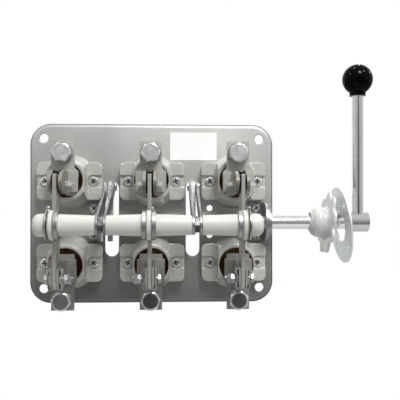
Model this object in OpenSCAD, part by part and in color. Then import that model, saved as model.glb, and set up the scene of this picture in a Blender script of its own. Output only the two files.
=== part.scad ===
// Three pole knife switch on a pan plate, closed, with its side handle up.
// X runs right, Z up, Y into the wall. The origin is the middle of the four fixing holes, on the wall.
// Heights are measured from the plate's front face towards the viewer.

/* [Base plate] */
// width of the pan plate
plate_width = 260; // [200:1:320]
// height of the pan plate
plate_height = 191.6; // [150:0.2:240]
// corner radius of the plate
plate_corner = 22.5; // [10:0.5:45]
// sheet thickness
sheet = 2; // [1:0.5:4]
// depth of the turned back edges
pan_depth = 23; // [15:1:40]
// rounding of the front edge
edge_round = 4; // [2:0.5:6]
// fixing hole centre from the plate's side edge
fixing_in = 15; // [10:0.5:20]
// fixing hole centre from the plate's top and bottom edge
fixing_down = 15.8; // [10:0.2:20]
// fixing hole diameter
fixing_hole = 9.5; // [5:0.5:12]
// width of the two crank slots
slot_width = 14.5; // [10:0.5:16]
// slot reach below the shaft
slot_below = 37; // [25:1:45]
// slot reach above the shaft
slot_above = 43; // [30:1:50]
// spare bracket holes diameter
spare_hole = 6.5; // [3:0.5:9]

/* [Layout] */
// room between neighbouring ears for the links
link_room = 18; // [12:0.5:32]
// height of the shaft line over the origin
shaft_z = -9; // [-20:1:10]
// shaft line to each row of insulators
row_offset = 42.7; // [38:0.1:55]
// shaft centre in front of the plate
shaft_height = 18; // [14:0.5:24]

/* [Insulators] */
// width over both ears
ear_width = 68; // [60:1:74]
// ear size up the plate
ear_tall = 40; // [30:1:46]
// ear thickness
ear_thick = 13; // [8:0.5:16]
// ear corner radius
ear_corner = 6; // [2:0.5:10]
// boss diameter at the plate
boss_base = 57; // [46:0.5:60]
// boss diameter at the rim
boss_rim = 42.5; // [40:0.5:46]
// boss rim height
boss_height = 39; // [30:1:45]
// boss width across its flat sides
boss_flats = 36.8; // [36:0.2:44]
// cavity diameter
cavity = 34.6; // [28:0.2:37]
// cavity depth
cavity_depth = 24; // [10:1:30]
// screw distance from the boss centre
screw_offset = 24.9; // [22:0.1:29]
// width of the screw recess
recess_width = 12.6; // [11:0.2:16]
// depth of the screw recess
recess_deep = 2.5; // [1:0.5:5]

/* [Screws] */
// pan head screw diameter
screw_shank = 5; // [3:0.5:6]
// pan head diameter
screw_head = 10.4; // [8:0.2:12]
// pan head height
screw_head_tall = 3.6; // [2:0.2:5]
// screw end past the plate
screw_end = 2; // [1:0.5:6]
// width of the cross recess
cross_wide = 1.3; // [0.8:0.1:2]
// play of the screws in their holes
screw_play = 0.1; // [0.05:0.05:0.5]

/* [Contacts] */
// terminal strap width
strap_width = 22; // [16:0.5:28]
// terminal strap thickness
strap_thick = 4; // [2:0.5:6]
// front face of the strap over the plate
strap_front = 53; // [48:0.5:60]
// strap end above the upper row
strap_up = 38.5; // [30:0.5:48]
// strap end below the lower row
strap_down = 42.3; // [30:0.5:50]
// strap reach towards the shaft, upper row
strap_back_up = 15.5; // [11:0.5:18]
// strap reach towards the shaft, lower row
strap_back_down = 12.3; // [8:0.1:16]
// terminal bolt over the upper row
terminal_up = 26.4; // [24:0.1:34]
// terminal bolt under the lower row
terminal_down = 32.2; // [26:0.1:38]
// terminal bolt diameter
terminal_bolt = 10; // [6:0.5:12]
// terminal bolt across flats
terminal_flats = 17; // [10:0.5:18]
// terminal bolt head height
terminal_head = 6.4; // [4:0.2:8]
// terminal nut height
terminal_nut = 8; // [5:0.5:9]
// terminal bolt end past its nut
terminal_end = 1.5; // [1:0.5:5]
// play of the terminal bolts in their straps
strap_play = 0.5; // [0.3:0.1:1]
// play of the terminal bolts in their washers
washer_play = 0.3; // [0.2:0.1:1]
// flat washer diameter
flat_washer = 21; // [18:0.5:22]
// flat washer thickness
flat_washer_thick = 2; // [1:0.2:3]
// spring washer diameter
spring_washer = 17.6; // [14:0.2:20]
// spring washer thickness
spring_washer_thick = 2.6; // [1:0.2:4]
// width over the jaw feet
foot_width = 30; // [26:0.5:34]
// width over the hinge feet
hinge_foot_width = 27; // [24:0.5:32]
// strap shoulder length
shoulder = 4; // [2:0.5:6]
// foot thickness
foot_thick = 3; // [2:0.5:5]
// jaw plate thickness
jaw_leaf = 3.2; // [2:0.2:5]
// gap between a blade and each jaw plate
jaw_gap = 1.6; // [1:0.1:2.5]
// gap between a blade and each jaw ridge
ridge_gap = 0.3; // [0.2:0.05:0.5]
// jaw ridge size along the height
ridge_tall = 6; // [3:0.5:9]
// hinge plate thickness
hinge_leaf = 2.2; // [1.6:0.2:4]
// hinge foot below the row of insulators
hinge_foot_low = 14.5; // [10:0.5:18]
// hinge foot above the row of insulators
hinge_foot_high = 7.5; // [5:0.5:12]
// straight edge of the hinge plate above its foot
hinge_step = 14; // [8:0.5:20]
// slope of the hinge plate's upper edge
hinge_slope = 5; // [2:0.5:8]
// cut corner of the hinge plate, along
hinge_cut = 5; // [2:0.5:8]
// cut corner of the hinge plate, down
hinge_drop = 7; // [4:0.5:10]
// heel of the hinge plate, along
hinge_heel = 3; // [1:0.5:5]
// heel of the hinge plate, up
hinge_heel_up = 10; // [6:0.5:14]
// hinge plate reach below the hinge bolt
hinge_reach = 10; // [8:0.5:14]
// gap between a blade and each hinge plate
hinge_gap = 0.3; // [0.2:0.05:0.6]
// jaw length along the blade
jaw_length = 22; // [18:0.5:28]
// jaw middle below the row of insulators
jaw_lower = 3.2; // [0:0.2:5]
// rounded part of the jaw's top
jaw_arch = 24; // [15:1:30]
// top of the jaws over the plate
jaw_top = 97; // [90:1:105]
// post diameter in the cavity
post = 19; // [12:0.5:24]
// jaw spring outer radius
clip_radius = 9.2; // [6:0.2:10]
// jaw spring thickness
clip_thick = 1.2; // [0.8:0.1:2]
// jaw spring width
clip_width = 5; // [3:0.5:8]
// jaw spring middle in front of the strap
clip_rise = 15; // [12:0.5:20]
// jaw spring tip width
clip_tip = 1; // [0.5:0.1:2]

/* [Blades] */
// blade thickness
blade_thick = 3.4; // [2.6:0.2:5]
// blade width
blade_width = 20; // [16:0.5:24]
// hinge bolt height over the plate
hinge_height = 87; // [84:0.5:92]
// hinge bolt below the shaft line
hinge_below = 50; // [46:0.5:54]
// blade end above the shaft line
blade_end = 46.5; // [40:0.5:52]
// hinge bolt diameter
hinge_bolt = 5; // [4:0.5:8]
// hinge bolt across flats
hinge_flats = 8.6; // [7:0.2:12]
// hinge bolt head height
hinge_head = 2.8; // [2:0.2:5]
// hinge nut height
hinge_nut = 3.6; // [2.5:0.1:5]
// running play on hinge bolt and crank pins
run_play = 0.05; // [0.02:0.01:0.1]
// wavy spring half length
wave_reach = 10; // [8:0.5:14]
// wavy spring sheet
wave_thick = 0.7; // [0.5:0.1:1]
// wavy spring height of the waves
wave_high = 0.8; // [0.4:0.1:1]
// wavy spring width
wave_wide = 14; // [10:0.5:18]
// seat of head and nuts from the blade's middle
nut_seat = 7.6; // [7:0.1:9]
// hinge bolt end past its last nut
bolt_end = 1.6; // [1:0.2:3]

/* [Traverse] */
// traverse rod diameter
tie_rod = 8; // [6:0.5:9]
// traverse height over the plate
tie_height = 105; // [100:0.5:110]
// sleeve diameter beside the blades
sleeve_big = 20; // [17:0.2:24]
// sleeve diameter beside the links
sleeve_small = 17.6; // [15:0.2:22]
// washer diameter
tie_washer = 27; // [22:0.5:30]
// washer pair thickness
tie_washer_thick = 3.4; // [2:0.2:5]
// outer spring washer diameter
tie_spring = 17; // [12:0.5:20]
// outer spring washer thickness
tie_spring_thick = 0.9; // [0.6:0.1:4]
// outer flat washer thickness
tie_outer_thick = 1.6; // [1:0.2:3]
// white ring round the blade lug
lug_ring = 26.6; // [23:0.2:30]
// width of the white ring
lug_ring_wide = 5.6; // [5:0.2:8]
// blade lug diameter
lug = 20; // [16:0.5:22]
// end cap length
end_cap = 11.6; // [8:0.2:15]
// end cap diameter
end_cap_wide = 20.6; // [16:0.2:24]
// end cap rounding
end_cap_round = 6; // [2:0.5:7]
// rod reach into the end cap
rod_in_cap = 7; // [4:0.5:9]
// play of the sleeves on the rod
sleeve_play = 0.05; // [0.02:0.01:0.2]

/* [Links] */
// link plate thickness
link_thick = 2; // [1.5:0.1:2.4]
// link plate width at the crank
link_width = 11.6; // [10:0.2:18]
// link eye diameter at the traverse
link_eye = 17.4; // [17:0.2:20]
// crank plate thickness
crank_thick = 4.4; // [3:0.2:4.8]
// side play of links
side_play = 0.3; // [0.2:0.05:0.5]
// crank pin diameter
crank_pin = 6; // [4:0.5:8]
// crank pin above the shaft line
pin_above = 37; // [35:0.5:38]
// crank pin height over the plate
pin_height = 15; // [13:0.5:17]
// pin head diameter
pin_head = 9; // [7:0.5:11]
// pin head thickness
pin_head_thick = 1.5; // [1:0.1:2]
// free play of the rod in the link eye
eye_play = 2.6; // [2.5:0.1:3]
// crank hub diameter
crank_hub = 26; // [20:0.5:30]
// crank end diameter at the pin
crank_end = 13; // [11:0.5:17]
// across flats of the nut between the links
tie_nut = 13; // [11:0.5:14]
// left crank tail below the shaft
tail_reach = 19.5; // [15:0.5:22]
// left crank tail width
tail_width = 13; // [8:0.5:16]

/* [Shaft and brackets] */
// drive shaft diameter
shaft = 14.4; // [12:0.2:16]
// shaft end beyond the left bracket
shaft_end = 9; // [6:0.5:14]
// shaft end inside the hub
shaft_right = 224.5; // [220:0.5:232]
// running play of the shaft in its bearings
shaft_play = 0.06; // [0.02:0.01:0.1]
// bracket sheet
bracket_sheet = 3; // [2:0.5:4]
// bracket size up the plate
bracket_tall = 41; // [34:1:42]
// bracket foot length
foot_length = 17; // [14:0.5:20]
// bracket foot corner radius
foot_corner = 2; // [1:0.5:4]
// middle of the bracket's round top below the shaft
bracket_drop = 3; // [0:0.5:5]
// left bracket outer face beyond the left links' middle
bracket_left_out = 9; // [8:0.5:13]
// right bracket outer face beyond the outer ears
bracket_right_out = 0.5; // [0:0.5:6]
// bracket screw spacing
bracket_screws_apart = 29; // [24:0.5:32]
// bracket screw to upright face
bracket_screw_in = 9.3; // [8.6:0.1:12]
// left collar diameter
collar_left = 21; // [18:0.5:26]
// right collar diameter
collar_right = 29; // [20:0.5:34]
// collar thickness
collar_thick = 3; // [2:0.5:6]

/* [Handle] */
// hub diameter
hub = 20.6; // [18:0.2:26]
// hub left end
hub_left = 206; // [203:0.5:208]
// hub right end
hub_right = 227.4; // [226:0.2:236]
// rod centre
grip_x = 217.4; // [214:0.5:222]
// rod diameter
grip_rod = 12; // [8:0.5:13]
// knob centre above the shaft
knob_rise = 151; // [120:1:180]
// knob diameter
knob = 32; // [26:0.5:40]
// knob neck diameter
knob_neck = 17; // [14:0.5:22]
// knob neck reach below the centre
neck_reach = 17.5; // [16:0.5:22]
// rod depth above the knob's neck end
rod_in_knob = 14; // [8:0.5:20]
// fit of the rod in hub and knob
press_play = 0.02; // [0.01:0.01:0.05]

/* [Bushing and disc] */
// bushing flange face left of the hub
bush_before = 20; // [16:0.2:32]
// bushing lean
bush_lean = 6; // [0:0.5:6]
// sleeve reach left of the flange face
bush_length = 21; // [20:0.5:30]
// sleeve diameter
bush_sleeve = 20; // [19:0.2:24]
// cup diameter
cup = 32; // [28:0.5:36]
// rounding of the cup's closed end
cup_round = 9.5; // [6:0.5:12]
// middle of that rounding left of the flange face
cup_in = 10.7; // [9:0.1:14]
// flare from the cup into the flange
flare = 4; // [3:0.5:6]
// lobed flange thickness
flange_thick = 3; // [2:0.5:6]
// lobe centres from the axis
lobe_ring = 25; // [22:0.2:27]
// lobe diameter
lobe = 16; // [12:0.2:18]
// number of lobes
lobes = 9; // [5:1:12]
// flange body diameter
flange_body = 56; // [46:0.5:60]
// bushing bore diameter
bush_bore = 17.2; // [17:0.1:19]
// collar diameter right of the flange
collar = 32.2; // [28:0.2:33]
// collar bore diameter
collar_bore = 23.4; // [20:0.2:26]
// collar length
collar_length = 14.5; // [10:0.5:16]
// arc of the collar, open below and at the sides
collar_arc = 80; // [40:5:180]
// disc left face left of the hub
disc_before = 7.8; // [5:0.2:14]
// disc lean
disc_lean = -6; // [-7:0.5:0]
// disc hang below the shaft
disc_hang = 3.2; // [0:0.1:6]
// disc diameter
disc = 80; // [72:1:84]
// disc opening
disc_hole = 35; // [30:0.5:38]
// disc sheet
disc_sheet = 1.5; // [1:0.5:3]
// disc screw holes diameter
disc_screw = 4.4; // [3:0.2:6]
// disc screw holes from the axis
disc_screw_ring = 30; // [26:0.5:36]

/* [Hidden] */
$fn = 64;
eps = 0.01;
// reach of cutters past the faces they cut
over = 5;
// depth of feet and plates in the strap that they are made on
root = 0.5;
row_top = shaft_z + row_offset;
row_bottom = shaft_z - row_offset;
hinge_z = shaft_z - hinge_below;
pin_z = shaft_z + pin_above;
strap_back = strap_front - strap_thick;
foot_front = strap_front + foot_thick;
jaw_in = blade_thick / 2 + jaw_gap;
jaw_out = jaw_in + jaw_leaf;
hinge_in = blade_thick / 2 + hinge_gap;
hinge_out = hinge_in + hinge_leaf;
jaw_z = row_top - jaw_lower;
pole_pitch = ear_width + link_room;
link_x = pole_pitch / 2;
bracket_left_x = -link_x - bracket_left_out;
bracket_right_x = pole_pitch + ear_width / 2 + bracket_right_out;
shaft_left = bracket_left_x - shaft_end;
bush_x = hub_left - bush_before;
disc_x = hub_left - disc_before;
far = 2 * plate_width;
cavity_floor = boss_height - cavity_depth;
recess_floor = ear_thick - recess_deep;
link_in = crank_thick / 2 + side_play;
link_out = link_in + link_thick;
ring_side = lug_ring_wide / 2;
sleeve_start = ring_side + tie_washer_thick;
blade_back = hinge_height - blade_width / 2;
blade_front = hinge_height + blade_width / 2;
washer_stack = flat_washer_thick + spring_washer_thick;
terminal_ys = [row_top + terminal_up, row_bottom - terminal_down];
rod_start = shaft / 2 + press_play;
wave_mid = hinge_out + wave_high + wave_thick / 2 + 0.05;
outer_stack = ring_side + tie_spring_thick + tie_outer_thick;

// plate coordinates: x right, y up the wall, z towards the viewer from the plate's front face
module on_plate() { rotate([90, 0, 0]) translate([0, 0, pan_depth]) children(); }
// a side outline (up, height) made into a plate of thickness t about x
module side_plate(x, t) { translate([x - t / 2, 0, 0]) rotate([90, 0, 90]) linear_extrude(t) children(); }
// a round bar along x
module bar_x(x0, x1, y, z, d) { translate([x0, y, z]) rotate([0, 90, 0]) cylinder(h = x1 - x0, d = d); }
// a hexagon bar along x
module hex_x(x0, x1, y, z, flats) {
  translate([x0, y, z]) rotate([0, 90, 0]) cylinder(h = x1 - x0, d = flats / cos(30), $fn = 6);
}
module rounded(w, h, r) {
  square([w - 2 * r, h], center = true);
  square([w, h - 2 * r], center = true);
  for (sx = [-1, 1], sy = [-1, 1]) translate([sx * (w / 2 - r), sy * (h / 2 - r)]) circle(r);
}
// two round ends joined by their outer tangents
module tapered_bar(p1, r1, p2, r2) {
  run = norm(p2 - p1);
  turn = atan2(p2[1] - p1[1], p2[0] - p1[0]);
  lean = acos((r1 - r2) / run);
  a = r1 - eps;
  b = r2 - eps;
  translate(p1) rotate(turn) {
    circle(r1);
    translate([run, 0]) circle(r2);
    polygon([[a * cos(lean), a * sin(lean)], [run + b * cos(lean), b * sin(lean)],
      [run + b * cos(lean), -b * sin(lean)], [a * cos(lean), -a * sin(lean)]]);
  }
}

module edge_cutter(length) {
  rotate([90, 0, 90]) linear_extrude(length, center = true) difference() {
    square([edge_round + over, edge_round + over]);
    circle(edge_round);
  }
}
module base_plate() color([0.62, 0.62, 0.58]) on_plate() difference() {
  translate([0, 0, -pan_depth]) linear_extrude(pan_depth) rounded(plate_width, plate_height, plate_corner);
  translate([0, 0, -pan_depth - 1]) linear_extrude(pan_depth + 1 - sheet)
    rounded(plate_width - 2 * sheet, plate_height - 2 * sheet, plate_corner - sheet);
  for (s = [0, 180]) rotate(s) translate([0, plate_height / 2 - edge_round, -edge_round])
    edge_cutter(plate_width + 2 * over);
  for (s = [90, 270]) rotate(s) translate([0, plate_width / 2 - edge_round, -edge_round])
    edge_cutter(plate_height + 2 * over);
  for (s = [0:3]) {
    sx = (s == 0 || s == 3) ? 1 : -1;
    sy = s < 2 ? 1 : -1;
    translate([sx * (plate_width / 2 - plate_corner), sy * (plate_height / 2 - plate_corner), -edge_round])
      rotate(s * 90) rotate_extrude(angle = 90) translate([plate_corner - edge_round, 0]) difference() {
        square([edge_round + over, edge_round + over]);
        circle(edge_round);
      }
  }
  for (sx = [-1, 1], sy = [-1, 1])
    translate([sx * (plate_width / 2 - fixing_in), sy * (plate_height / 2 - fixing_down), -sheet - 1])
      cylinder(h = sheet + 2, d = fixing_hole);
  for (s = [-1, 1]) translate([s * link_x, 0, -sheet - 1]) linear_extrude(sheet + 2) {
    translate([-slot_width / 2, shaft_z - slot_below + slot_width / 2])
      square([slot_width, slot_below + slot_above - slot_width]);
    translate([0, shaft_z - slot_below + slot_width / 2]) circle(d = slot_width);
    translate([0, shaft_z + slot_above - slot_width / 2]) circle(d = slot_width);
  }
  for (p = [-1, 0, 1], r = [row_top, row_bottom], s = [-1, 1])
    translate([p * pole_pitch + s * screw_offset, r, -sheet - 1])
      cylinder(h = sheet + 2, d = screw_shank + screw_play);
  for (x = [bracket_left_x - bracket_screw_in, bracket_right_x - bracket_screw_in], s = [-1, 1])
    translate([x, shaft_z + s * bracket_screws_apart / 2, -sheet - 1])
      cylinder(h = sheet + 2, d = screw_shank + screw_play);
  for (s = [-1, 1])
    translate([bracket_screw_in - bracket_left_x, shaft_z + s * bracket_screws_apart / 2, -sheet - 1])
      cylinder(h = sheet + 2, d = spare_hole);
}

module insulator(x, y) color([0.80, 0.79, 0.76]) on_plate() translate([x, y, 0]) difference() {
  union() {
    difference() {
      linear_extrude(ear_thick) rounded(ear_width, ear_tall, ear_corner);
      for (s = [0, 180]) rotate(s) translate([screw_offset, 0, recess_floor]) linear_extrude(ear_thick) {
        circle(d = recess_width);
        translate([0, -recess_width / 2]) square([ear_width / 2 - screw_offset + 1, recess_width]);
      }
    }
    intersection() {
      cylinder(h = boss_height, d1 = boss_base, d2 = boss_rim);
      translate([-boss_flats / 2, -boss_base, 0]) cube([boss_flats, 2 * boss_base, boss_height + 1]);
    }
  }
  translate([0, 0, cavity_floor]) cylinder(h = cavity_depth + 1, d = cavity);
  for (s = [-1, 1]) translate([s * screw_offset, 0, -1])
    cylinder(h = ear_thick + 2, d = screw_shank + screw_play);
}
module insulator_top_left() { insulator(-pole_pitch, row_top); }
module insulator_top_mid() { insulator(0, row_top); }
module insulator_top_right() { insulator(pole_pitch, row_top); }
module insulator_bottom_left() { insulator(-pole_pitch, row_bottom); }
module insulator_bottom_mid() { insulator(0, row_bottom); }
module insulator_bottom_right() { insulator(pole_pitch, row_bottom); }

// pan head screw with a cross recess, its head resting at height h
module pan_screw(x, y, h) {
  translate([x, y, 0]) difference() {
    union() {
      translate([0, 0, -sheet - screw_end]) cylinder(h = h + sheet + screw_end + eps * 2, d = screw_shank);
      translate([0, 0, h]) cylinder(h = screw_head_tall / 2, d = screw_head);
      translate([0, 0, h + screw_head_tall / 2 - eps * 2])
        cylinder(h = screw_head_tall / 2, d1 = screw_head, d2 = screw_head * 0.68);
    }
    for (a = [20, 110]) translate([0, 0, h + screw_head_tall]) rotate(a)
      cube([screw_head * 0.55, cross_wide, screw_head_tall], center = true);
  }
}
module insulator_screws() color([0.7, 0.7, 0.7]) on_plate()
  for (p = [-1, 0, 1], r = [row_top, row_bottom], s = [-1, 1])
    pan_screw(p * pole_pitch + s * screw_offset, r, recess_floor);

// a terminal strap: its free end at y_end, shoulders widening to the feet at y_foot, its inner end at y_in
module strap(y_end, y_foot, y_in, y_bolt, wide) {
  n = strap_width / 2;
  w = wide / 2;
  d = y_end > y_foot ? shoulder : -shoulder;
  difference() {
    translate([0, 0, strap_back]) linear_extrude(strap_thick) polygon([
      [-n, y_end], [-n, y_foot + d], [-w, y_foot], [-w, y_foot - d], [-n, y_in],
      [n, y_in], [w, y_foot - d], [w, y_foot], [n, y_foot + d], [n, y_end]]);
    translate([0, y_bolt, strap_back - eps])
      cylinder(h = strap_thick + 2 * eps, d = terminal_bolt + strap_play);
  }
}
// the two angle feet on a strap, between y_low and y_high, from x_in outwards
module feet(y_low, y_high, x_in, wide) {
  for (s = [-1, 1]) translate([s * (wide / 2 + x_in) / 2, (y_low + y_high) / 2, strap_front - root])
    linear_extrude(foot_thick + root) square([wide / 2 - x_in, y_high - y_low], center = true);
}
module jaw_outline() {
  polygon([
    for (a = [0:9:180]) [jaw_length / 2 * cos(a), jaw_top - jaw_arch + jaw_arch * sin(a)],
    [-jaw_length / 2, strap_front - root], [jaw_length / 2, strap_front - root]]);
}
module jaw_contact(p) color([0.66, 0.65, 0.60]) on_plate() translate([p * pole_pitch, 0, 0]) {
  translate([0, row_top, 0]) {
    strap(strap_up, jaw_length / 2 - jaw_lower, -strap_back_up, terminal_up, foot_width);
    translate([0, 0, cavity_floor]) cylinder(h = strap_back - cavity_floor + 1, d = post);
    feet(-jaw_length / 2 - jaw_lower + 2, jaw_length / 2 - jaw_lower, jaw_in, foot_width);
  }
  translate([0, jaw_z, 0]) for (s = [-1, 1]) {
    side_plate(s * (jaw_in + jaw_leaf / 2), jaw_leaf) jaw_outline();
    ridge_in = blade_thick / 2 + ridge_gap;
    translate([s > 0 ? ridge_in : -jaw_in - eps * 2, -jaw_length / 2, blade_back + 1])
      cube([jaw_in - ridge_in + eps * 2, jaw_length, ridge_tall]);
  }
}
module jaw_contact_left() { jaw_contact(-1); }
module jaw_contact_mid() { jaw_contact(0); }
module jaw_contact_right() { jaw_contact(1); }

module jaw_springs() color([0.8, 0.8, 0.8]) on_plate()
  for (p = [-1, 0, 1], m = [0, 1])
    translate([p * pole_pitch, jaw_z - clip_tip, strap_front + clip_rise])
      mirror([m, 0, 0]) translate([jaw_out, 0, 0]) intersection() {
        translate([0, clip_width, 0]) rotate([90, 0, 0]) linear_extrude(2 * clip_width) intersection() {
          difference() {
            circle(clip_radius);
            circle(clip_radius - clip_thick);
          }
          translate([0, -clip_radius]) square([clip_radius, 2 * clip_radius]);
        }
        translate([0, 0, -clip_radius]) linear_extrude(2 * clip_radius) polygon([[0, clip_width / 2],
          [clip_radius, -clip_tip], [clip_radius, -2 * clip_tip], [0, -clip_width / 2]]);
      }

module hinge_outline() {
  low = strap_front - root;
  front = hinge_height + blade_width / 2 + 0.5;
  top = row_bottom + hinge_foot_high;
  end = hinge_z - hinge_reach;
  difference() {
    polygon([[top, low], [top, low + hinge_step], [top - hinge_slope, front], [end + hinge_cut, front],
      [end, front - hinge_drop], [end, low + hinge_heel_up], [end + hinge_heel, low]]);
    translate([hinge_z, hinge_height]) circle(d = hinge_bolt + 2 * run_play);
  }
}
module hinge_contact(p) color([0.66, 0.65, 0.60]) on_plate() translate([p * pole_pitch, 0, 0]) {
  translate([0, row_bottom, 0]) {
    strap(-strap_down, -hinge_foot_low, strap_back_down, -terminal_down, hinge_foot_width);
    translate([0, 0, cavity_floor]) cylinder(h = strap_back - cavity_floor + 1, d = post);
    feet(-hinge_foot_low, hinge_foot_high, hinge_in, hinge_foot_width);
  }
  for (s = [-1, 1]) side_plate(s * (hinge_in + hinge_leaf / 2), hinge_leaf) hinge_outline();
}
module hinge_contact_left() { hinge_contact(-1); }
module hinge_contact_mid() { hinge_contact(0); }
module hinge_contact_right() { hinge_contact(1); }

module wave_strip() {
  steps = [-wave_reach:wave_reach / 10:wave_reach];
  back = [wave_reach:-wave_reach / 10:-wave_reach];
  polygon(concat(
    [for (u = steps) [wave_mid - wave_high * cos(360 * u / (1.2 * wave_reach)) - wave_thick / 2, u]],
    [for (u = back) [wave_mid - wave_high * cos(360 * u / (1.2 * wave_reach)) + wave_thick / 2, u]]));
}
module hinge_springs() color([0.8, 0.8, 0.8]) on_plate()
  for (p = [-1, 0, 1], s = [0, 180]) translate([p * pole_pitch, hinge_z, 0]) difference() {
    rotate(s) translate([0, 0, hinge_height - wave_wide / 2]) linear_extrude(wave_wide) wave_strip();
    bar_x(-nut_seat, nut_seat, 0, hinge_height, hinge_bolt + 0.6);
  }

// hinge bolt with its head on side s and two nuts on the other
module hinge_bolt_set(p, s) {
  translate([p * pole_pitch, 0, 0]) mirror([s > 0 ? 1 : 0, 0, 0]) {
    bar_x(-nut_seat - eps * 2, nut_seat + 2 * hinge_nut + bolt_end, hinge_z, hinge_height, hinge_bolt);
    hex_x(-nut_seat - hinge_head, -nut_seat, hinge_z, hinge_height, hinge_flats);
    hex_x(nut_seat, nut_seat + hinge_nut, hinge_z, hinge_height, hinge_flats);
    translate([0, hinge_z, hinge_height]) rotate([20, 0, 0])
      hex_x(nut_seat + hinge_nut - eps * 2, nut_seat + 2 * hinge_nut, 0, 0, hinge_flats);
  }
}
module hinge_bolts() color([0.82, 0.81, 0.78]) on_plate() {
  hinge_bolt_set(-1, -1);
  hinge_bolt_set(0, 1);
  hinge_bolt_set(1, 1);
}

module terminal_bolts() color([0.55, 0.57, 0.58]) on_plate()
  for (p = [-1, 0, 1], y = terminal_ys) translate([p * pole_pitch, y, 0]) {
    head = strap_front + washer_stack;
    low = strap_back - terminal_nut;
    face = terminal_flats * 0.94;
    translate([0, 0, low - terminal_end]) cylinder(h = head - low + terminal_end + root, d = terminal_bolt);
    translate([0, 0, head]) rotate(p * 17 + 8) intersection() {
      cylinder(h = terminal_head, d = terminal_flats / cos(30), $fn = 6);
      cylinder(h = terminal_head, d1 = face + 2 * terminal_head / tan(30), d2 = face);
    }
    translate([0, 0, low]) cylinder(h = terminal_nut, d = terminal_flats / cos(30), $fn = 6);
  }
module terminal_washers() color([0.6, 0.6, 0.6]) on_plate()
  for (p = [-1, 0, 1], y = terminal_ys) translate([p * pole_pitch, y, strap_front]) difference() {
    union() {
      cylinder(h = flat_washer_thick, d = flat_washer);
      cylinder(h = washer_stack, d = spring_washer);
    }
    translate([0, 0, -eps]) cylinder(h = washer_stack + 2 * eps, d = terminal_bolt + washer_play);
  }

module bracket(face) color([0.72, 0.72, 0.70]) on_plate() difference() {
  union() {
    translate([face - foot_length / 2, shaft_z, 0])
      linear_extrude(bracket_sheet) rounded(foot_length, bracket_tall, foot_corner);
    side_plate(face - bracket_sheet / 2, bracket_sheet) {
      translate([shaft_z - bracket_tall / 2, 0]) square([bracket_tall, shaft_height - bracket_drop]);
      translate([shaft_z, shaft_height - bracket_drop]) circle(d = bracket_tall);
    }
  }
  translate([face - far, -far, -far]) cube([2 * far, 2 * far, far]);
  bar_x(face - foot_length - eps, face + eps, shaft_z, shaft_height, shaft + 2 * shaft_play);
  for (s = [-1, 1]) translate([face - bracket_screw_in, shaft_z + s * bracket_screws_apart / 2, -1])
    cylinder(h = bracket_sheet + 2, d = screw_shank + screw_play);
}
module bracket_left() { bracket(bracket_left_x); }
module bracket_right() { bracket(bracket_right_x); }
module bracket_screws() color([0.7, 0.7, 0.7]) on_plate()
  for (x = [bracket_left_x - bracket_screw_in, bracket_right_x - bracket_screw_in], s = [-1, 1])
    pan_screw(x, shaft_z + s * bracket_screws_apart / 2, bracket_sheet);

// on the shaft line, leaning about the viewer's axis, with x counted from the given place
module leaning(x, drop, lean) {
  translate([x, shaft_z - drop, shaft_height]) rotate([0, 0, -lean]) children();
}
// half section of the bell, from the axis outwards, its flange face at zero
module bell_section() {
  wall = cup / 2 - 0.3;
  difference() {
    union() {
      translate([0, -bush_length]) square([bush_sleeve / 2, bush_length - cup_in]);
      translate([cup / 2 - cup_round, -cup_in]) circle(cup_round);
      translate([0, -cup_in]) square([wall, cup_in - flange_thick / 2]);
      translate([0, -flange_thick]) square([collar / 2, flange_thick]);
      difference() {
        translate([0, -flange_thick - flare]) square([wall + flare, flare + flange_thick / 2]);
        translate([wall + flare + 0.3, -flange_thick - flare]) circle(flare);
      }
    }
    translate([-cup, -2 * bush_length]) square([cup + bush_bore / 2, 4 * bush_length]);
  }
}
module panel_bushing() color([0.93, 0.93, 0.92]) on_plate() leaning(bush_x - bush_length / 2, 0, bush_lean)
  translate([bush_length / 2, 0, 0]) rotate([0, 90, 0]) {
    rotate_extrude() bell_section();
    rotate(90 - collar_arc / 2) rotate_extrude(angle = collar_arc)
      translate([collar_bore / 2, -flange_thick / 2])
        square([(collar - collar_bore) / 2, flange_thick / 2 + collar_length]);
    translate([0, 0, -flange_thick]) linear_extrude(flange_thick) difference() {
      union() {
        circle(d = flange_body);
        for (k = [1:lobes]) rotate((k + 0.2) * 360 / lobes) translate([lobe_ring, 0]) circle(d = lobe);
      }
      circle(d = bush_bore + 2 * flange_thick);
    }
  }
module panel_disc() color([0.75, 0.75, 0.72]) on_plate() leaning(disc_x, disc_hang, disc_lean) difference() {
  bar_x(0, disc_sheet, 0, 0, disc);
  bar_x(-1, disc_sheet + 1, 0, 0, disc_hole);
  for (k = [0:3]) rotate([k * 90 + 45, 0, 0]) bar_x(-1, disc_sheet + 1, disc_screw_ring, 0, disc_screw);
}

module drive_shaft() color([0.8, 0.8, 0.8]) on_plate()
  bar_x(shaft_left, shaft_right, shaft_z, shaft_height, shaft);
module shaft_collars() color([0.7, 0.7, 0.7]) on_plate() difference() {
  left_face = bracket_left_x - bracket_sheet - side_play;
  right_face = bracket_right_x + side_play;
  union() {
    bar_x(left_face - collar_thick, left_face, shaft_z, shaft_height, collar_left);
    bar_x(right_face, right_face + collar_thick, shaft_z, shaft_height, collar_right);
  }
  bar_x(shaft_left, shaft_right, shaft_z, shaft_height, shaft + 2 * press_play);
}
module crank(x, tail) color([0.68, 0.68, 0.66]) on_plate() difference() {
  union() {
    side_plate(x, crank_thick)
      tapered_bar([shaft_z, shaft_height], crank_hub / 2, [pin_z, pin_height], crank_end / 2);
    translate([x - crank_thick / 2, shaft_z - tail, shaft_height - tail_width / 2])
      cube([crank_thick, tail, tail_width]);
  }
  bar_x(x - crank_thick, x + crank_thick, shaft_z, shaft_height, shaft + 2 * press_play);
  bar_x(x - crank_thick, x + crank_thick, pin_z, pin_height, crank_pin + 2 * press_play);
}
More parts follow.
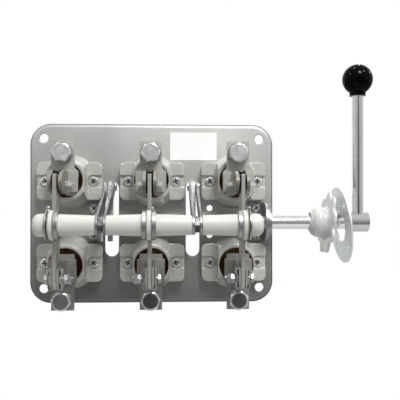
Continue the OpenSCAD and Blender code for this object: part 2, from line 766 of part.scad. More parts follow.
module crank_left() { crank(-link_x, tail_reach); }
module crank_right() { crank(link_x, crank_hub / 2 - 1); }
module crank_pins() color([0.8, 0.8, 0.8]) on_plate() for (s = [-1, 1]) translate([s * link_x, 0, 0]) {
  head = link_out + side_play;
  bar_x(-head - 0.5, head + 0.5, pin_z, pin_height, crank_pin);
  for (m = [0, 1]) mirror([m, 0, 0]) bar_x(head, head + pin_head_thick, pin_z, pin_height, pin_head);
}

module handle_hub() color([0.78, 0.78, 0.78]) on_plate() difference() {
  bar_x(hub_left, hub_right, shaft_z, shaft_height, hub);
  bar_x(hub_left - 1, shaft_right, shaft_z, shaft_height, shaft + 2 * press_play);
  translate([grip_x, shaft_z, shaft_height]) rotate([-90, 0, 0])
    cylinder(h = hub, d = grip_rod + 2 * press_play);
}
module handle_rod() color([0.8, 0.8, 0.8]) on_plate()
  translate([grip_x, shaft_z + rod_start, shaft_height]) rotate([-90, 0, 0])
    cylinder(h = knob_rise - neck_reach + rod_in_knob - rod_start, d = grip_rod);
module handle_knob() color([0.05, 0.05, 0.05]) on_plate()
  translate([grip_x, shaft_z + knob_rise, shaft_height]) difference() {
    union() {
      sphere(d = knob);
      rotate([90, 0, 0]) cylinder(h = neck_reach, d = knob_neck);
    }
    rotate([90, 0, 0]) translate([0, 0, neck_reach - rod_in_knob])
      cylinder(h = rod_in_knob + 1, d = grip_rod + 2 * press_play);
  }

module blade(p) color([0.66, 0.65, 0.60]) on_plate() side_plate(p * pole_pitch, blade_thick) difference() {
  union() {
    translate([hinge_z, hinge_height]) circle(d = blade_width);
    translate([hinge_z, blade_back]) square([blade_end + hinge_below, blade_width]);
    translate([shaft_z, tie_height]) circle(d = lug);
    translate([shaft_z - lug / 2 + eps, min(tie_height, hinge_height)])
      square([lug - 2 * eps, abs(tie_height - hinge_height)]);
  }
  translate([hinge_z, hinge_height]) circle(d = hinge_bolt + 2 * run_play);
  translate([shaft_z, tie_height]) circle(d = tie_rod + 2 * sleeve_play);
}
module blade_left() { blade(-1); }
module blade_mid() { blade(0); }
module blade_right() { blade(1); }
module lug_rings() color([0.93, 0.92, 0.89]) on_plate()
  for (p = [-1, 0, 1]) translate([p * pole_pitch, 0, 0]) difference() {
    slot_half = blade_thick / 2 + sleeve_play;
    slot_front = max(tie_height, blade_front + sleeve_play);
    bar_x(-ring_side, ring_side, shaft_z, tie_height, lug_ring);
    translate([-slot_half, shaft_z - lug_ring, tie_height - lug_ring])
      cube([2 * slot_half, 2 * lug_ring, slot_front - tie_height + lug_ring]);
    bar_x(-slot_half, slot_half, shaft_z, tie_height, lug + 2 * sleeve_play);
    bar_x(-lug_ring_wide, lug_ring_wide, shaft_z, tie_height, tie_rod + 2 * sleeve_play);
  }

module tie_bar() color([0.7, 0.7, 0.7]) on_plate() {
  reach = pole_pitch + outer_stack + rod_in_cap;
  bar_x(-reach, reach, shaft_z, tie_height, tie_rod);
}
module tie_sleeve(x_big, x_small) {
  low = min(x_big, x_small);
  high = max(x_big, x_small);
  translate([low, shaft_z, tie_height]) rotate([0, 90, 0]) cylinder(h = high - low,
    d1 = x_big < x_small ? sleeve_big : sleeve_small, d2 = x_big < x_small ? sleeve_small : sleeve_big);
}
module tie_sleeves() color([0.93, 0.92, 0.89]) on_plate() difference() {
  for (s = [-1, 1]) {
    tie_sleeve(s * (pole_pitch - sleeve_start), s * (link_x + link_out + side_play));
    tie_sleeve(s * sleeve_start, s * (link_x - link_out - side_play));
  }
  bar_x(-far, far, shaft_z, tie_height, tie_rod + 2 * sleeve_play);
}
module tie_end_caps() color([0.93, 0.92, 0.89]) on_plate() for (s = [0, 1]) mirror([s, 0, 0])
  translate([pole_pitch + outer_stack, shaft_z, tie_height]) difference() {
    rotate([0, 90, 0]) rotate_extrude() {
      square([end_cap_wide / 2, end_cap - end_cap_round]);
      translate([0, eps]) square([end_cap_wide / 2 - end_cap_round, end_cap - eps]);
      intersection() {
        translate([end_cap_wide / 2 - end_cap_round, end_cap - end_cap_round]) circle(end_cap_round);
        square([end_cap_wide, end_cap + 1]);
      }
    }
    bar_x(-eps, rod_in_cap + sleeve_play, 0, 0, tie_rod + 2 * sleeve_play);
  }
module tie_washers() color([0.75, 0.75, 0.75]) on_plate() difference() {
  for (s = [-1, 1]) {
    mirror([s > 0 ? 0 : 1, 0, 0]) bar_x(ring_side, sleeve_start, shaft_z, tie_height, tie_washer);
    translate([s * pole_pitch, 0, 0]) mirror([s > 0 ? 0 : 1, 0, 0]) {
      bar_x(-sleeve_start, -ring_side, shaft_z, tie_height, tie_washer);
      bar_x(ring_side, ring_side + tie_spring_thick + 2 * eps, shaft_z, tie_height, tie_spring);
      bar_x(ring_side + tie_spring_thick, outer_stack, shaft_z, tie_height, tie_washer);
    }
  }
  bar_x(-far, far, shaft_z, tie_height, tie_rod + 2 * sleeve_play);
}
module tie_nuts() color([0.7, 0.7, 0.7]) on_plate() for (s = [-1, 1]) difference() {
  hex_x(s * link_x - link_in + side_play, s * link_x + link_in - side_play, shaft_z, tie_height, tie_nut);
  bar_x(s * link_x - link_out, s * link_x + link_out, shaft_z, tie_height, tie_rod + 2 * sleeve_play);
}

module link_pair(x) color([0.7, 0.7, 0.7]) on_plate() for (s = [-1, 1])
  side_plate(x + s * (link_in + link_thick / 2), link_thick) difference() {
    tapered_bar([pin_z, pin_height], link_width / 2, [shaft_z, tie_height], link_eye / 2);
    translate([pin_z, pin_height]) circle(d = crank_pin + 2 * run_play);
    translate([shaft_z, tie_height]) circle(d = tie_rod + 2 * eye_play);
  }
module link_left() { link_pair(-link_x); }
module link_right() { link_pair(link_x); }

base_plate();
insulator_top_left();
insulator_top_mid();
insulator_top_right();
insulator_bottom_left();
insulator_bottom_mid();
insulator_bottom_right();
insulator_screws();
jaw_contact_left();
jaw_contact_mid();
jaw_contact_right();
jaw_springs();
hinge_contact_left();
hinge_contact_mid();
hinge_contact_right();
hinge_springs();
hinge_bolts();
terminal_bolts();
terminal_washers();
bracket_left();
bracket_right();
bracket_screws();
panel_bushing();
panel_disc();
drive_shaft();
shaft_collars();
crank_left();
crank_right();
crank_pins();
handle_hub();
handle_rod();
handle_knob();
blade_left();
blade_mid();
blade_right();
lug_rings();
tie_bar();
tie_sleeves();
tie_end_caps();
tie_washers();
tie_nuts();
link_left();
link_right();
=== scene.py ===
import math

import bmesh
import bpy
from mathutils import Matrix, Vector


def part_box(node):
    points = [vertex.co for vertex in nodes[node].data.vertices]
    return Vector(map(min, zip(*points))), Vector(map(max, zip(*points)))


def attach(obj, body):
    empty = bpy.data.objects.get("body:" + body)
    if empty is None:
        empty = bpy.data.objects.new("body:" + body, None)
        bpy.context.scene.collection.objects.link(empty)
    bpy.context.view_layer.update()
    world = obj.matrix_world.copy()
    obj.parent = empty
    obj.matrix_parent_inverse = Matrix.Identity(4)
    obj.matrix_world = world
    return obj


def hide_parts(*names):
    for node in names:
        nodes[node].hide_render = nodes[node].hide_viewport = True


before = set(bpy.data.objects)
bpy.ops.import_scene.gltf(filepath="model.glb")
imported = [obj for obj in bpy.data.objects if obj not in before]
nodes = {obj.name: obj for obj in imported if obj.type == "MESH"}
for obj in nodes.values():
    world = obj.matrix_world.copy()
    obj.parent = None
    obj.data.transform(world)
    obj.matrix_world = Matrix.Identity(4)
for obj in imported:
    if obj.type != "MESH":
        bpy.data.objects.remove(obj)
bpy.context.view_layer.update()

# Sizes shared with the part, in metres. Heights are counted from the plate's front face.
PLATE = -0.023
POLE = 0.086
SHAFT_Z = -0.009
ROW = 0.0427
POLES = {"left": -POLE, "mid": 0.0, "right": POLE}
ROWS = {"top": SHAFT_Z + ROW, "bottom": SHAFT_Z - ROW}
SCREW_OFFSET = 0.0249
EAR_HEAD = 0.0141
BRACKET_HEAD = 0.0066
BRACKET_X = (-0.0613, 0.1112)
BRACKET_SCREWS = 0.0145
TIE_HEIGHT = 0.105
CAVITY = 0.0174
BOSS_HEIGHT = 0.039
EDGE_ROUND = 0.004
LOWER_BOLTS = ROWS["bottom"] - 0.0322

# Limits of the painted areas: darker jaw plates, the painted shadow in the jaw slots,
# the painted reflection on the lower bolt faces and the painted gap shade on the lug rings
JAW_IN = 0.0033
JAW_END = 0.0425
PLATES_DARK_FROM = 0.059
PLATES_DARK_FULL = 0.065
BOLT_FACE = 0.0069
RING_RIB = 0.0014

# Sizes of the pieces that only the scene has
LABEL_X = 0.0439
LABEL_Z = 0.07185
LABEL_HALF_WIDTH = 0.025
LABEL_HALF_HEIGHT = 0.01485
LABEL_FRONT = -0.0003
LABEL_BACK = -0.00002
CROSS_HALF_LENGTH = 0.003
CROSS_HALF_WIDTH = 0.00048
CROSS_FRONT = -0.00003
CROSS_BACK = 0.0012
PIN_ASIDE = 0.0035
PIN_UP = 0.0146
PIN_FORWARD = 0.0005
PIN_EYE = 0.0016
PIN_WIRE = 0.0008
EYE_STEPS = 14
WIRE_STEPS = 8


def at(x, z, height):
    """A point at a height in front of the plate."""
    return Vector((x, PLATE - height, z))


# Node helpers
def material(name, base, rough, metal=0.0, **more):
    mat = bpy.data.materials.new(name)
    mat.use_nodes = True
    tree = mat.node_tree
    shader = tree.nodes["Principled BSDF"]
    shader.inputs["Base Color"].default_value = (*base, 1)
    shader.inputs["Roughness"].default_value = rough
    shader.inputs["Metallic"].default_value = metal
    for key, value in more.items():
        shader.inputs[key.replace("_", " ")].default_value = value
    return mat, tree, shader


def coords(tree):
    return tree.nodes.new("ShaderNodeTexCoord").outputs["Object"]


def noise(tree, scale, detail):
    tex = tree.nodes.new("ShaderNodeTexNoise")
    tex.inputs["Scale"].default_value = scale
    tex.inputs["Detail"].default_value = detail
    tree.links.new(coords(tree), tex.inputs["Vector"])
    return tex.outputs["Fac"]


def ramp(tree, fac, stops):
    node = tree.nodes.new("ShaderNodeValToRGB")
    band = node.color_ramp
    while len(band.elements) < len(stops):
        band.elements.new(0.5)
    for element, (place, colour) in zip(band.elements, stops):
        element.position = place
        element.color = (*colour, 1)
    tree.links.new(fac, node.inputs["Fac"])
    return node.outputs["Color"]


def value_map(tree, fac, low, high, to_low, to_high):
    node = tree.nodes.new("ShaderNodeMapRange")
    sockets = ("From Min", "From Max", "To Min", "To Max")
    for socket, number in zip(sockets, (low, high, to_low, to_high)):
        node.inputs[socket].default_value = number
    tree.links.new(fac, node.inputs["Value"])
    return node.outputs["Result"]


def axis(tree, vector, letter):
    split = tree.nodes.new("ShaderNodeSeparateXYZ")
    tree.links.new(vector, split.inputs["Vector"])
    return split.outputs[letter]


def mix(tree, fac, a, b, mode="MIX"):
    node = tree.nodes.new("ShaderNodeMix")
    node.data_type = "RGBA"
    node.blend_type = mode
    for socket, item in ((node.inputs["Factor"], fac), (node.inputs[6], a), (node.inputs[7], b)):
        if isinstance(item, bpy.types.NodeSocket):
            tree.links.new(item, socket)
        else:
            socket.default_value = (*item, 1) if isinstance(item, tuple) else item
    return node.outputs[2]


def maths(tree, operation, a, b):
    node = tree.nodes.new("ShaderNodeMath")
    node.operation = operation
    for socket, item in zip(node.inputs, (a, b)):
        if isinstance(item, bpy.types.NodeSocket):
            tree.links.new(item, socket)
        else:
            socket.default_value = item
    return node.outputs[0]


def bump(tree, shader, height, strength, distance, soften=0.0):
    node = tree.nodes.new("ShaderNodeBump")
    if soften:
        edge = tree.nodes.new("ShaderNodeBevel")
        edge.samples = 6
        edge.inputs["Radius"].default_value = soften
        tree.links.new(edge.outputs["Normal"], node.inputs["Normal"])
    node.inputs["Strength"].default_value = strength
    node.inputs["Distance"].default_value = distance
    tree.links.new(height, node.inputs["Height"])
    tree.links.new(node.outputs["Normal"], shader.inputs["Normal"])


def away_from(tree, across, up):
    """Distance from an axis along Y, from the two offsets to it."""
    join = tree.nodes.new("ShaderNodeCombineXYZ")
    tree.links.new(across, join.inputs["X"])
    tree.links.new(up, join.inputs["Z"])
    length = tree.nodes.new("ShaderNodeVectorMath")
    length.operation = "LENGTH"
    tree.links.new(join.outputs["Vector"], length.inputs[0])
    return length.outputs["Value"]


def grey(level):
    return (level, level, level)


# Materials
def worn(name, dark, light, scale, rough, metal, strength=0.08, soften=0.0, **more):
    """A finish that varies between two colours and two roughnesses, with a fine bump if it has a strength."""
    mat, tree, shader = material(name, light, rough[0], metal, **more)
    spots = noise(tree, scale, 5)
    tree.links.new(ramp(tree, spots, ((0.3, dark), (0.7, light))), shader.inputs["Base Color"])
    tree.links.new(value_map(tree, spots, 0.3, 0.7, rough[1], rough[0]), shader.inputs["Roughness"])
    if strength:
        bump(tree, shader, noise(tree, scale * 6, 3), strength, 0.0003, soften)
    return mat


def plate_paint_and_painted_light():
    """Clouded grey paint with painted light: paler above, a painted sheen to the right, and bands of painted
    shade and reflection on the turned edge, which is also dull.
    """
    mat, tree, shader = material("plate_paint_and_painted_light", (0.4, 0.4, 0.37), 0.4, 0.6)
    place = coords(tree)
    up = value_map(tree, axis(tree, place, "Z"), -0.095, 0.095, 0, 1)
    # Painted light and shade: dark at the bottom of the plate, pale at the top
    base = ramp(tree, up, ((0.0, (0.28, 0.29, 0.28)), (0.4, (0.49, 0.50, 0.48)),
                           (1.0, (0.86, 0.87, 0.845))))
    cloud = ramp(tree, noise(tree, 24, 7), ((0.3, grey(0.84)), (0.7, grey(1.0))))
    # Painted sheen: brightest a little right of the middle, dimmer at the left
    painted_sheen = ramp(tree, value_map(tree, axis(tree, place, "X"), -0.13, 0.13, 0, 1),
                 ((0.0, grey(0.80)), (0.25, grey(0.76)), (0.48, grey(0.92)), (0.8, grey(1.0)),
                  (1.0, grey(0.86))))
    clouded_and_shaded = mix(tree, 1.0, mix(tree, 1.0, base, painted_sheen, "MULTIPLY"), cloud, "MULTIPLY")
    depth = value_map(tree, axis(tree, place, "Y"), PLATE, PLATE + EDGE_ROUND, 0, 1)
    # Painted shade and a blue-grey painted reflection in bands across the rounded edge
    edge = ramp(tree, depth, ((0.01, grey(1.0)), (0.05, grey(0.8)), (0.13, grey(0.75)),
                              (0.22, grey(0.32)), (0.38, (0.20, 0.23, 0.27)), (0.6, grey(0.45)),
                              (1.0, grey(0.7))))
    tree.links.new(mix(tree, 1.0, clouded_and_shaded, edge, "MULTIPLY"), shader.inputs["Base Color"])
    tree.links.new(value_map(tree, depth, 0.0, 0.2, 0.6, 0.1), shader.inputs["Metallic"])
    tree.links.new(value_map(tree, depth, 0.0, 0.2, 0.4, 0.55), shader.inputs["Roughness"])
    bump(tree, shader, noise(tree, 900, 3), 0.06, 0.0002, 0.002)
    return mat


def moulded(name, x, z):
    """Glazed insulator body, brown inside the cavity round (x, z)."""
    mat, tree, shader = material(name, (0.5, 0.49, 0.45), 0.12)
    spots = ramp(tree, noise(tree, 120, 5), ((0.3, (0.45, 0.448, 0.416)), (0.7, (0.53, 0.527, 0.492))))
    place = coords(tree)
    across = maths(tree, "SUBTRACT", axis(tree, place, "X"), x)
    up = maths(tree, "SUBTRACT", axis(tree, place, "Z"), z)
    inside = value_map(tree, away_from(tree, across, up), CAVITY, CAVITY + 0.0002, 1, 0)
    rim = PLATE - BOSS_HEIGHT
    deep = value_map(tree, axis(tree, place, "Y"), rim + 0.0003, rim + 0.0015, 0, 1)
    both = maths(tree, "MULTIPLY", inside, deep)
    tree.links.new(mix(tree, both, spots, (0.26, 0.14, 0.05)), shader.inputs["Base Color"])
    bump(tree, shader, noise(tree, 130, 3), 0.2, 0.0008)
    return mat


def bolt_heads():
    """Zinc plated terminal bolts, with a painted dark reflection on the faces of the lower row, less of it on
    its left one.
    """
    mat, tree, shader = material("terminal_bolts", (0.3, 0.3, 0.3), 0.26, 0.6)
    spots = ramp(tree, noise(tree, 150, 4), ((0.3, (0.56, 0.57, 0.575)), (0.7, (0.92, 0.93, 0.93))))
    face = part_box("terminal_bolts")[0][1]
    place = coords(tree)
    across = maths(tree, "PINGPONG", axis(tree, place, "X"), POLE / 2)
    up = maths(tree, "SUBTRACT", axis(tree, place, "Z"), LOWER_BOLTS)
    # Painted reflection: a dark disc on each lower bolt's face, weaker on the left bolt
    disc = value_map(tree, away_from(tree, across, up), BOLT_FACE, BOLT_FACE + 0.0007, 1, 0)
    top = value_map(tree, axis(tree, place, "Y"), face + 0.0002, face + 0.0006, 1, 0)
    reflection_share = value_map(tree, axis(tree, place, "X"), -0.07, -0.02, 0.7, 1)
    dark = maths(tree, "MULTIPLY", maths(tree, "MULTIPLY", disc, top), reflection_share)
    tree.links.new(mix(tree, dark, spots, (0.15, 0.157, 0.163)), shader.inputs["Base Color"])
    bump(tree, shader, noise(tree, 500, 3), 0.15, 0.0003, 0.0005)
    return mat


def jaw_metal_with_slot_shadow():
    """Tinned straps with darker jaw plates, and a black painted shadow in the slot between the plates."""
    mat, tree, shader = material("jaw_metal", (0.45, 0.445, 0.41), 0.5, 0.35)
    spots = ramp(tree, noise(tree, 60, 5), ((0.3, (0.39, 0.385, 0.355)), (0.7, (0.49, 0.485, 0.45))))
    place = coords(tree)
    # The jaw plates standing above the straps are darker than the straps
    standing = value_map(tree, axis(tree, place, "Y"), PLATE - PLATES_DARK_FROM, PLATE - PLATES_DARK_FULL, 0, 1)
    darker_plates = mix(tree, standing, spots, (0.24, 0.233, 0.2))
    # Painted shadow: the slot between each pole's jaw plates is painted black
    aside = maths(tree, "PINGPONG", axis(tree, place, "X"), POLE / 2)
    between = value_map(tree, aside, JAW_IN, JAW_IN + 0.0002, 1, 0)
    along = value_map(tree, axis(tree, place, "Z"), JAW_END, JAW_END - 0.001, 0, 1)
    slot = maths(tree, "MULTIPLY", between, along)
    tree.links.new(mix(tree, slot, darker_plates, (0.02, 0.019, 0.017)), shader.inputs["Base Color"])
    bump(tree, shader, noise(tree, 360, 3), 0.12, 0.0003, 0.0004)
    return mat


def lug_ring_plastic_and_gap_shade():
    """Rings with a narrow white rib in the middle; the grey flanks are painted shade of the gaps beside the
    washers.
    """
    mat, tree, shader = material("lug_ring_plastic_and_gap_shade", (0.6, 0.6, 0.56), 0.45)
    aside = maths(tree, "PINGPONG", axis(tree, coords(tree), "X"), POLE / 2)
    # Painted shade: grey on both sides of the rib, for the gaps between ring and washers
    gap_shade = value_map(tree, aside, RING_RIB, RING_RIB + 0.0004, 0, 1)
    spots = ramp(tree, noise(tree, 40, 5), ((0.3, (0.59, 0.58, 0.54)), (0.7, (0.66, 0.65, 0.61))))
    tree.links.new(mix(tree, gap_shade, spots, (0.23, 0.225, 0.21)), shader.inputs["Base Color"])
    bump(tree, shader, noise(tree, 240, 3), 0.08, 0.0003, 0.0005)
    return mat


zinc = worn("zinc", grey(0.42), grey(0.74), 110, (0.26, 0.38), 1.0, soften=0.00015)
screw_zinc = worn("screw_zinc", grey(0.70), grey(0.92), 160, (0.22, 0.32), 0.75, soften=0.0002)
link_zinc = worn("link_zinc", grey(0.24), grey(0.52), 60, (0.32, 0.46), 1.0, soften=0.0005)
dark_steel = worn("dark_steel", grey(0.05), grey(0.2), 200, (0.3, 0.5), 1.0, soften=0.0004)
bright = worn("bright_plating", grey(0.90), grey(0.97), 60, (0.07, 0.10), 1.0, strength=0.0)
rod_plating = worn("rod_plating", grey(0.68), grey(0.78), 60, (0.03, 0.05), 1.0, strength=0.0)
spring_steel = worn("spring_steel", grey(0.66), grey(0.9), 90, (0.2, 0.32), 0.75, soften=0.0003)
tinned = worn("tinned_blades", (0.42, 0.41, 0.375), (0.56, 0.55, 0.50), 60, (0.34, 0.46), 0.6,
              strength=0.12, soften=0.0004)
hinge_metal = worn("hinge_metal", (0.255, 0.25, 0.23), (0.33, 0.325, 0.295), 60, (0.46, 0.56), 0.35,
                   strength=0.12, soften=0.0004)
jaw_metal = jaw_metal_with_slot_shadow()
white = worn("white_plastic", (0.59, 0.58, 0.54), (0.66, 0.65, 0.61), 40, (0.38, 0.48), 0.0,
             soften=0.0008)
milky = worn("milky_plastic", (0.66, 0.66, 0.65), (0.72, 0.72, 0.71), 50, (0.18, 0.26), 0.0,
             Subsurface_Weight=1.0, Subsurface_Radius=(1.0, 1.0, 1.0), Subsurface_Scale=0.004)
black = worn("black_knob", grey(0.0), grey(0.001), 60, (0.03, 0.06), 0.0, strength=0.01,
             Specular_IOR_Level=0.07)
disc_plate = worn("disc_plating", (0.82, 0.85, 0.85), (0.88, 0.91, 0.91), 40, (0.34, 0.42), 0.5)
# Painted shade for the cross recesses of the screw heads
painted_recess_shade = worn("painted_recess_shade", (0.012, 0.013, 0.014), (0.03, 0.032, 0.034), 300, (0.5, 0.6), 0.3)
paper = worn("label_paper", (0.91, 0.91, 0.90), (0.96, 0.96, 0.95), 80, (0.5, 0.6), 0.0)

look = {"base_plate": plate_paint_and_painted_light(), "terminal_bolts": bolt_heads(), "panel_bushing": milky,
        "tie_nuts": dark_steel, "insulator_screws": screw_zinc, "bracket_screws": screw_zinc,
        "panel_disc": disc_plate, "handle_knob": black}
for row, z in ROWS.items():
    for pole, x in POLES.items():
        look[f"insulator_{row}_{pole}"] = moulded(f"moulded_{row}_{pole}", x, z)
for pole in POLES:
    look[f"blade_{pole}"] = tinned
    look[f"jaw_contact_{pole}"] = jaw_metal
    look[f"hinge_contact_{pole}"] = hinge_metal
for name in ("jaw_springs", "hinge_springs"):
    look[name] = spring_steel
look["lug_rings"] = lug_ring_plastic_and_gap_shade()
for name in ("tie_sleeves", "tie_end_caps"):
    look[name] = white
look["drive_shaft"] = bright
for name in ("handle_hub", "handle_rod"):
    look[name] = rod_plating
for name in ("link_left", "link_right", "crank_left", "crank_right", "tie_washers", "shaft_collars",
             "bracket_left", "bracket_right", "hinge_bolts"):
    look[name] = link_zinc
for name, node in nodes.items():
    node.data.materials.clear()
    node.data.materials.append(look.get(name, zinc))


# Pieces that stand for a node or are added to the part
def add_piece(name, mesh, mat, body, smooth=False):
    mesh.materials.clear()
    mesh.materials.append(mat)
    for face in mesh.polygons:
        face.use_smooth = smooth
    piece = bpy.data.objects.new(name, mesh)
    bpy.context.scene.collection.objects.link(piece)
    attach(piece, body)
    return piece


def mesh_of(name, points, faces):
    mesh = bpy.data.meshes.new(name)
    mesh.from_pydata(points, [], faces)
    return mesh


def softened(node_name, voxel, rounds):
    """A moulded copy of a node, with its edges rounded as the mould leaves them."""
    shape = nodes[node_name].data.copy()
    work = bmesh.new()
    work.from_mesh(shape)
    bmesh.ops.remove_doubles(work, verts=work.verts, dist=1e-6)
    work.to_mesh(shape)
    work.free()
    source = bpy.data.objects.new("source", shape)
    bpy.context.scene.collection.objects.link(source)
    grid = source.modifiers.new("grid", "REMESH")
    grid.mode = "VOXEL"
    grid.voxel_size = voxel
    even = source.modifiers.new("even", "SMOOTH")
    even.factor = 0.5
    even.iterations = rounds
    depsgraph = bpy.context.evaluated_depsgraph_get()
    mesh = bpy.data.meshes.new_from_object(source.evaluated_get(depsgraph))
    mesh.name = node_name + "_moulded"
    bpy.data.objects.remove(source)
    piece = add_piece(mesh.name, mesh, look[node_name], "frame", smooth=True)
    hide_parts(node_name)


for row in ROWS:
    for pole in POLES:
        softened(f"insulator_{row}_{pole}", voxel=0.0008, rounds=7)
softened("panel_bushing", voxel=0.0007, rounds=8)

BOX_FACES = ((0, 1, 2, 3), (7, 6, 5, 4), (0, 4, 5, 1), (1, 5, 6, 2), (2, 6, 7, 3), (3, 7, 4, 0))


def bar_points(middle, along, across, top, bottom):
    """Eight corners of a flat bar, its back face first."""
    points = []
    for depth in (bottom, top):
        centre = middle + Vector((0, depth, 0))
        points += [centre + along + across, centre - along + across,
                   centre - along - across, centre + along - across]
    return points


# White label on the plate
points = bar_points(at(LABEL_X, LABEL_Z, 0), Vector((LABEL_HALF_WIDTH, 0, 0)),
                    Vector((0, 0, LABEL_HALF_HEIGHT)), LABEL_FRONT, LABEL_BACK)
add_piece("label", mesh_of("label", points, BOX_FACES), paper, "frame")

# Dark crosses over the pan head screws: painted shade of their cross recesses
heads = [(x + side * SCREW_OFFSET, z, EAR_HEAD)
         for x in POLES.values() for z in ROWS.values() for side in (-1, 1)]
heads += [(x, SHAFT_Z + side * BRACKET_SCREWS, BRACKET_HEAD)
          for x in BRACKET_X for side in (-1, 1)]
points, faces = [], []
for number, (x, z, height) in enumerate(heads):
    for quarter in (0, 90):
        angle = math.radians(20 + 37 * number + quarter)
        along = Vector((math.cos(angle), 0, math.sin(angle))) * CROSS_HALF_LENGTH
        across = Vector((-math.sin(angle), 0, math.cos(angle))) * CROSS_HALF_WIDTH
        first = len(points)
        points += bar_points(at(x, z, height), along, across, CROSS_FRONT, CROSS_BACK)
        faces += [tuple(first + k for k in face) for face in BOX_FACES]
crosses = mesh_of("screw_crosses", points, faces)
add_piece("screw_crosses", crosses, painted_recess_shade, "frame")

# Eyes of the split pins above the white rings
points, faces = [], []
for x, turn in ((-POLE - PIN_ASIDE, 20), (PIN_ASIDE, 70), (POLE + PIN_ASIDE, -30)):
    middle = at(x, SHAFT_Z + PIN_UP, TIE_HEIGHT + PIN_FORWARD)
    lie = Vector((math.cos(math.radians(turn)), math.sin(math.radians(turn)), 0))
    normal = Vector((-lie.y, lie.x, 0))
    first = len(points)
    for i in range(EYE_STEPS):
        a = 2 * math.pi * i / EYE_STEPS
        spoke = lie * math.cos(a) + Vector((0, 0, 1)) * math.sin(a)
        for j in range(WIRE_STEPS):
            b = 2 * math.pi * j / WIRE_STEPS
            out = spoke * (PIN_EYE + PIN_WIRE * math.cos(b))
            points.append(middle + out + normal * (PIN_WIRE * math.sin(b)))
            k, m = (i + 1) % EYE_STEPS, (j + 1) % WIRE_STEPS
            corners = ((i, j), (k, j), (k, m), (i, m))
            faces.append(tuple(first + u * WIRE_STEPS + v for u, v in corners))
eyes = mesh_of("split_pin_eyes", points, faces)
add_piece("split_pin_eyes", eyes, zinc, "blades", smooth=True)

# Camera, fitted to the four fixing holes in the photo
scene = bpy.context.scene
camera = bpy.data.objects.new("camera", bpy.data.cameras.new("camera"))
camera.data.sensor_width = 36
camera.data.lens = 54
camera.data.clip_start = 0.01
camera.location = (0.018, PLATE - 0.6446, 0.0106)
camera.rotation_euler = (math.radians(90.32), 0, math.radians(-2.93))
scene.collection.objects.link(camera)
scene.camera = camera


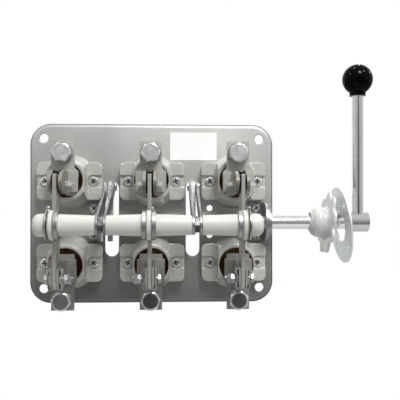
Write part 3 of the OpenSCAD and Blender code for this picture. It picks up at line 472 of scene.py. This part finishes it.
def studio():
    """A room with a dim front, pale walls and a white backdrop for mirrors, and softer light for the rest."""
    world = bpy.data.worlds.new("studio")
    scene.world = world
    world.use_nodes = True
    tree = world.node_tree
    tree.nodes.clear()
    out = tree.nodes.new("ShaderNodeOutputWorld")
    shown = tree.nodes.new("ShaderNodeBackground")
    shown.inputs["Color"].default_value = (1, 1, 1, 1)
    lit = tree.nodes.new("ShaderNodeBackground")
    away = tree.nodes.new("ShaderNodeTexCoord").outputs["Generated"]
    aside, half, up = (value_map(tree, axis(tree, away, letter), -1, 1, 0, 1) for letter in "XYZ")
    room = ramp(tree, up, ((0.0, grey(0.55)), (0.09, grey(0.50)), (0.13, grey(0.05)),
                           (0.19, grey(0.05)), (0.27, grey(0.22)), (0.45, grey(0.26)),
                           (0.52, grey(0.34)), (0.62, grey(0.46)), (1.0, grey(0.7))))
    person = ramp(tree, aside, ((0.41, grey(1.0)), (0.44, grey(0.02)), (0.51, grey(0.02)),
                                (0.54, grey(1.0))))
    stands = value_map(tree, up, 0.57, 0.62, 1, 0)
    room = mix(tree, stands, room, mix(tree, 1.0, room, person, "MULTIPLY"))
    around = ramp(tree, half, ((0.03, grey(0.0)), (0.13, grey(0.6)), (0.40, grey(0.85)),
                               (0.6, grey(1.0))))
    walls = ramp(tree, up, ((0.0, grey(0.2)), (0.40, grey(0.35)), (0.46, grey(0.7))))
    mirror = mix(tree, around, room, walls)
    dim = ramp(tree, up, ((0.0, grey(0.32)), (0.45, grey(0.30)), (0.55, grey(0.34)), (1.0, grey(0.5))))
    soft = mix(tree, ramp(tree, half, ((0.1, grey(0.0)), (0.45, grey(1.0)))), dim, grey(0.48))
    path = tree.nodes.new("ShaderNodeLightPath")
    glossy = path.outputs["Is Glossy Ray"]
    tree.links.new(mix(tree, glossy, soft, mirror), lit.inputs["Color"])
    behind = value_map(tree, half, 0.7, 0.9, 0, 1)
    above_floor = value_map(tree, up, 0.40, 0.45, 0, 1)
    backdrop = maths(tree, "MULTIPLY", behind, above_floor)
    mirrored = maths(tree, "MULTIPLY", glossy, backdrop)
    seen = maths(tree, "MAXIMUM", path.outputs["Is Camera Ray"], path.outputs["Is Transmission Ray"])
    pick = tree.nodes.new("ShaderNodeMixShader")
    tree.links.new(maths(tree, "MAXIMUM", seen, mirrored), pick.inputs["Fac"])
    tree.links.new(lit.outputs["Background"], pick.inputs[1])
    tree.links.new(shown.outputs["Background"], pick.inputs[2])
    tree.links.new(pick.outputs["Shader"], out.inputs["Surface"])


LAMP_TARGET = Vector((0.05, -0.06, 0.0))
LAMP_AWAY = 1.3
LAMPS = {"ceiling_front": ((0.18, -0.62, 0.76), 0.45, 13.5),
         "ceiling_front_right": ((0.55, -0.36, 0.75), 0.18, 2.8),
         "ceiling_middle": ((-0.07, 0.08, 0.99), 0.13, 2.0),
         "ceiling_back": ((0.35, 0.54, 0.76), 0.1, 0.9),
         "ceiling_right": ((0.81, 0.24, 0.52), 0.1, 0.9),
         "ceiling_left": ((-0.71, -0.10, 0.69), 0.12, 1.5)}


def ceiling_lamp(name, direction, size, power):
    lamp = bpy.data.objects.new(name, bpy.data.lights.new(name, "AREA"))
    lamp.data.shape = "DISK"
    lamp.data.size = size
    lamp.data.energy = power
    lamp.location = LAMP_TARGET + Vector(direction).normalized() * LAMP_AWAY
    lamp.rotation_euler = (LAMP_TARGET - lamp.location).to_track_quat("-Z", "Y").to_euler()
    scene.collection.objects.link(lamp)


def pale_floor():
    """A floor far below, shown to the camera as almost white with a share of its own shade."""
    level = -0.52
    corners = [(-1, -0.9, level), (1.2, -0.9, level), (1.2, 0.8, level), (-1, 0.8, level)]
    mesh = mesh_of("floor", corners, [(0, 1, 2, 3)])
    floor = bpy.data.objects.new("floor", mesh)
    scene.collection.objects.link(floor)
    mat, tree, shader = material("pale_floor", grey(0.6), 0.9)
    glow = tree.nodes.new("ShaderNodeEmission")
    path = tree.nodes.new("ShaderNodeLightPath")
    join = tree.nodes.new("ShaderNodeMixShader")
    tree.links.new(maths(tree, "MULTIPLY", path.outputs["Is Camera Ray"], 0.92), join.inputs["Fac"])
    tree.links.new(shader.outputs["BSDF"], join.inputs[1])
    tree.links.new(glow.outputs["Emission"], join.inputs[2])
    tree.links.new(join.outputs["Shader"], tree.nodes["Material Output"].inputs["Surface"])
    mesh.materials.append(mat)


studio()
for name, (direction, size, power) in LAMPS.items():
    ceiling_lamp(name, direction, size, power)
pale_floor()
scene.view_settings.view_transform = "Standard"
